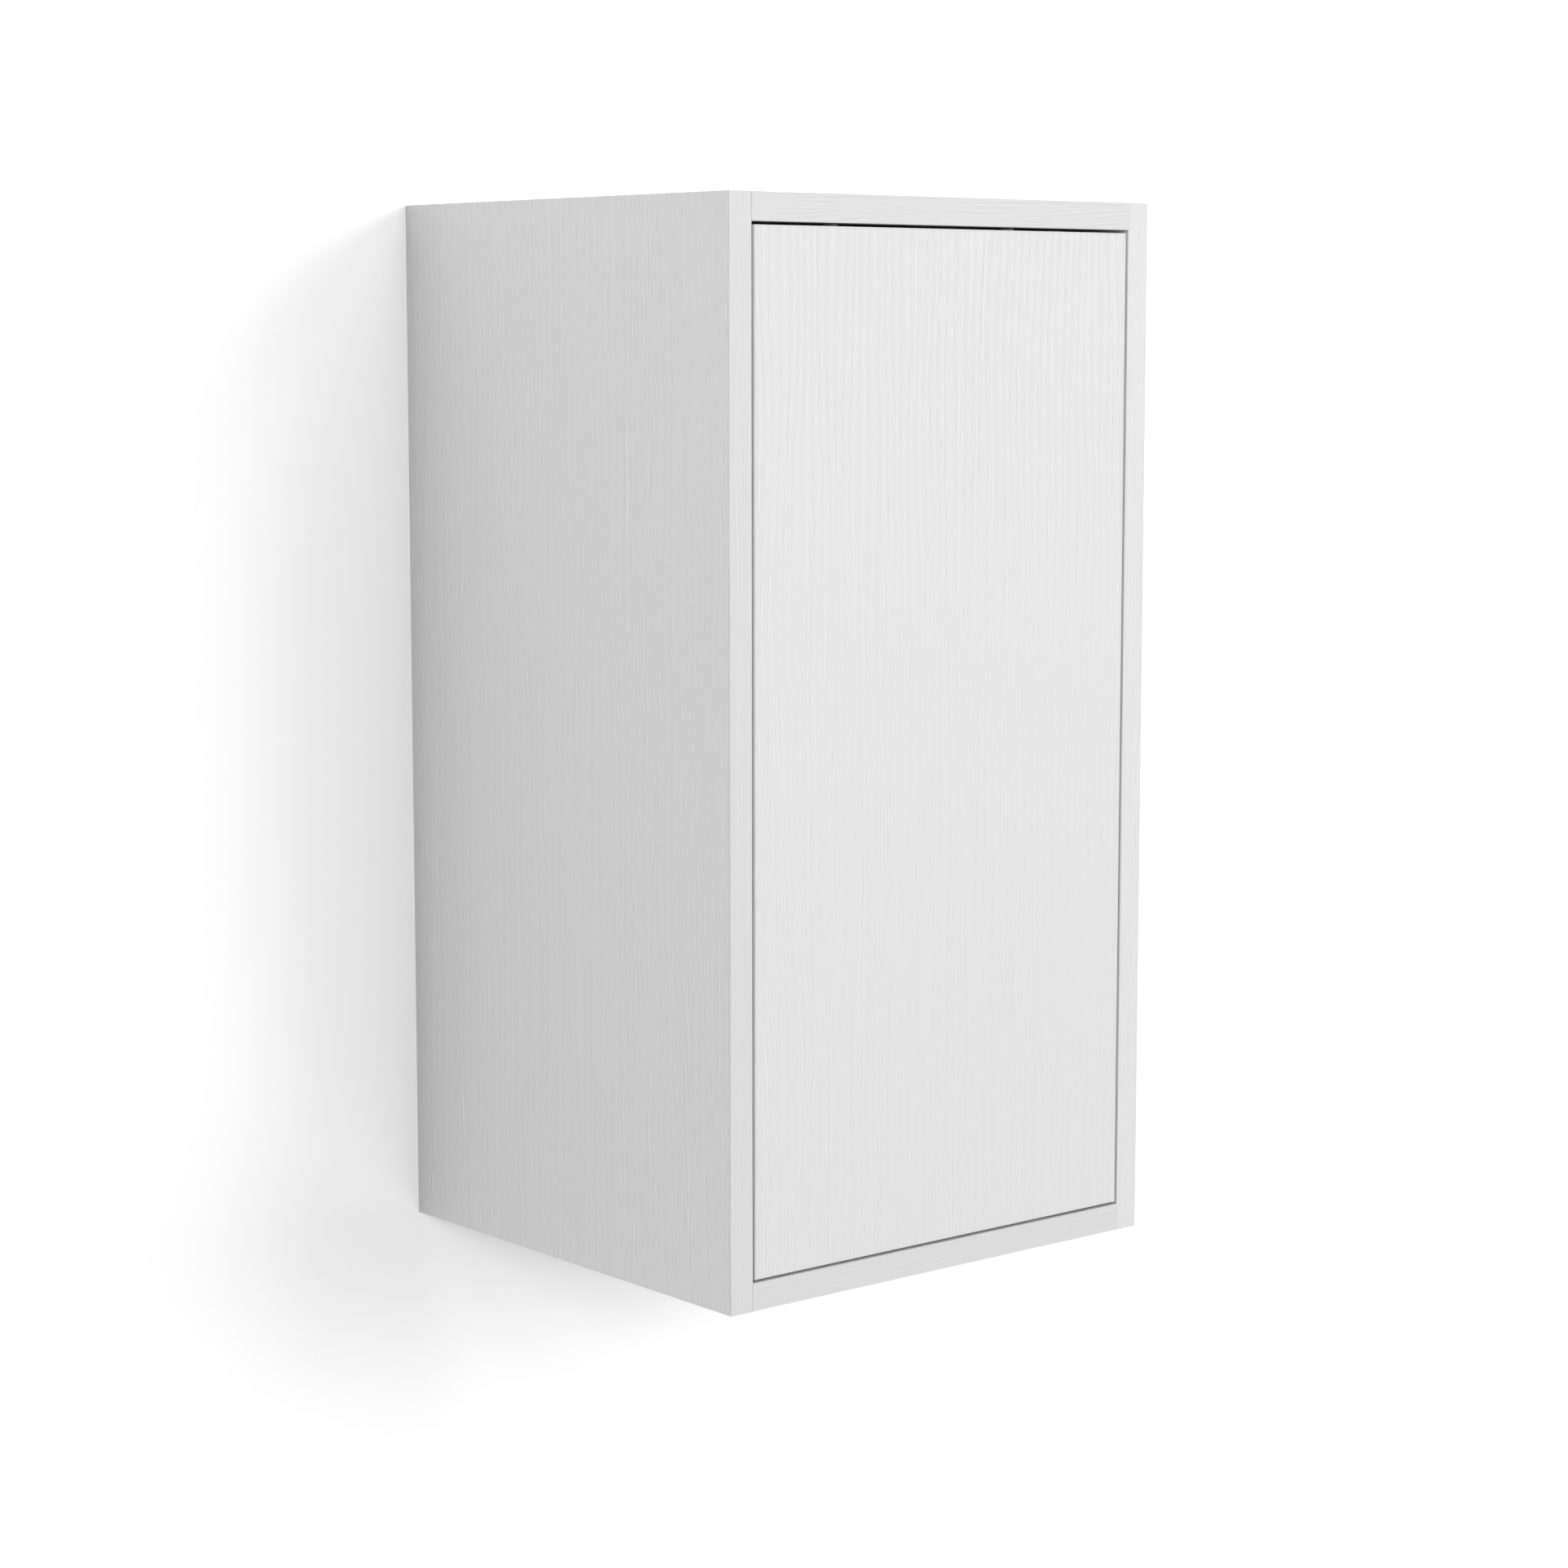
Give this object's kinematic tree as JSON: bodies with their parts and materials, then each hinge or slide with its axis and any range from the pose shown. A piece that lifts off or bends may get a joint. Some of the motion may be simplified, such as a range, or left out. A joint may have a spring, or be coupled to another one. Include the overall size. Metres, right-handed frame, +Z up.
{
  "type": "hanging wall cabinet",
  "caption": "Tall box-shaped wall cabinet in white wood-grain board with an inset push-to-open door, an adjustable shelf and a hidden wall rail.",
  "frame": {"origin": "middle of the wall rail's back face, in the wall plane", "axes": "+Z up, -Y out of the wall towards the door's front, +X towards the hinge side"},
  "size_m": [0.36, 0.35, 0.7],
  "materials": {
    "carcass_side_white_ash": "white melamine board and edge band with fine vertical ash grain, satin",
    "carcass_end_white_ash": "white melamine board and edge band with fine lengthwise ash grain, satin",
    "back_panel_white": "thin fibreboard with a smooth white lacquered face",
    "door_white_ash": "white melamine board and edge bands with fine vertical ash grain, satin",
    "beech_dowel": "plain fluted beech",
    "zinc_plated_steel": "zinc plated, slightly mottled",
    "nickel_plated_steel": "nickel plated pressed steel, satin bright",
    "white_plastic": "white moulded plastic",
    "grey_plastic": "light grey moulded plastic",
    "clear_plastic": "translucent soft plastic",
    "magnet_nickel": "nickel plated magnet"
  },
  "bodies": {
    "cabinet": {"side_panel_left": "carcass_side_white_ash", "side_panel_right": "carcass_side_white_ash", "top_panel": "carcass_end_white_ash", "bottom_panel": "carcass_end_white_ash", "back_panel": "back_panel_white", "edge_band_left": "carcass_side_white_ash", "edge_band_right": "carcass_side_white_ash", "edge_band_top": "carcass_end_white_ash", "edge_band_bottom": "carcass_end_white_ash", "dowels": "beech_dowel", "cam_bolts": "zinc_plated_steel", "cam_housings": "zinc_plated_steel", "cam_caps": "white_plastic", "shelf": "carcass_end_white_ash", "shelf_edge_band": "carcass_end_white_ash", "shelf_pins": "nickel_plated_steel", "wall_rail": "zinc_plated_steel", "hanging_bracket_left": "zinc_plated_steel", "hanging_bracket_right": "zinc_plated_steel", "bracket_screws": "zinc_plated_steel", "hinge_arm_upper": "nickel_plated_steel", "hinge_arm_lower": "nickel_plated_steel", "hinge_plate_upper": "nickel_plated_steel", "hinge_plate_lower": "nickel_plated_steel", "hinge_plate_screws": "nickel_plated_steel", "hinge_arm_screws": "nickel_plated_steel", "latch_housing": "grey_plastic", "latch_screws": "zinc_plated_steel", "latch_spring": "zinc_plated_steel", "door_stops": "clear_plastic"},
    "door": {"door_panel": "door_white_ash", "door_band_left": "door_white_ash", "door_band_right": "door_white_ash", "door_band_top": "door_white_ash", "door_band_bottom": "door_white_ash", "hinge_cup_upper": "nickel_plated_steel", "hinge_cup_lower": "nickel_plated_steel", "hinge_pin_upper": "nickel_plated_steel", "hinge_pin_lower": "nickel_plated_steel", "hinge_cup_screws": "nickel_plated_steel", "latch_strike": "zinc_plated_steel"},
    "plunger": {"latch_plunger": "white_plastic", "latch_magnet": "magnet_nickel"}
  },
  "joints": [
    {"name": "door_hinge", "type": "hinge", "parent": "cabinet", "child": "door", "pos_m": [0.137, -0.341, -0.29], "axis": [0, 0, 1], "range_deg": [0, 95]},
    {"name": "plunger_slide", "type": "slide", "parent": "cabinet", "child": "plunger", "axis": [0, -1, 0], "range_m": [0, 0.014]}
  ],
  "couplings": [
    {"joint": "plunger_slide", "follows": "door_hinge", "m_per_rad": 0.008413}
  ]
}
